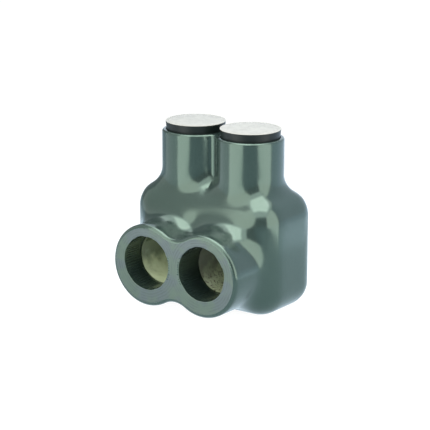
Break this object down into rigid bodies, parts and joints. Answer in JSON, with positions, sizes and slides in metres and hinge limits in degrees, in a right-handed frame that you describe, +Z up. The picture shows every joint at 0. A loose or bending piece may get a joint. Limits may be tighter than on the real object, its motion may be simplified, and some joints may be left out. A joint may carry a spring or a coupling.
{
  "type": "insulated multi-tap connector",
  "caption": "Insulated set-screw cable connector: vinyl jacket with twin cable skirt and screw chimneys, pull-out plugs and a bored metal block.",
  "frame": {"origin": "on the base plane, midway between the two set-screw axes", "axes": "+Z up the set-screw axes, -Y out of the cable ports, +X to the right of someone who looks into the ports"},
  "size_m": [0.0634, 0.048, 0.0674],
  "materials": {
    "vinyl": "glossy dip-moulded vinyl, grey green",
    "aluminium": "satin, machined",
    "screw_metal": "satin, turned",
    "plug_plastic": "satin black with a pale top face",
    "joint_compound": "wiped olive paste"
  },
  "bodies": {
    "housing": {"insulating_jacket": "vinyl", "terminal_block": "aluminium", "left_compound_lining": "joint_compound", "right_compound_lining": "joint_compound"},
    "left_screw": {"left_set_screw": "screw_metal"},
    "right_screw": {"right_set_screw": "screw_metal"},
    "left_plug": {"left_access_plug": "plug_plastic"},
    "right_plug": {"right_access_plug": "plug_plastic"}
  },
  "joints": [
    {"name": "left_plug_pull", "type": "slide", "parent": "housing", "child": "left_plug", "axis": [0, 0, 1], "range_m": [0, 0.025]},
    {"name": "right_plug_pull", "type": "slide", "parent": "housing", "child": "right_plug", "axis": [0, 0, 1], "range_m": [0, 0.025]},
    {"name": "left_screw_drive", "type": "slide", "parent": "housing", "child": "left_screw", "axis": [0, 0, -1], "range_m": [0, 0.0159]},
    {"name": "right_screw_drive", "type": "slide", "parent": "housing", "child": "right_screw", "axis": [0, 0, -1], "range_m": [0, 0.0159]}
  ]
}
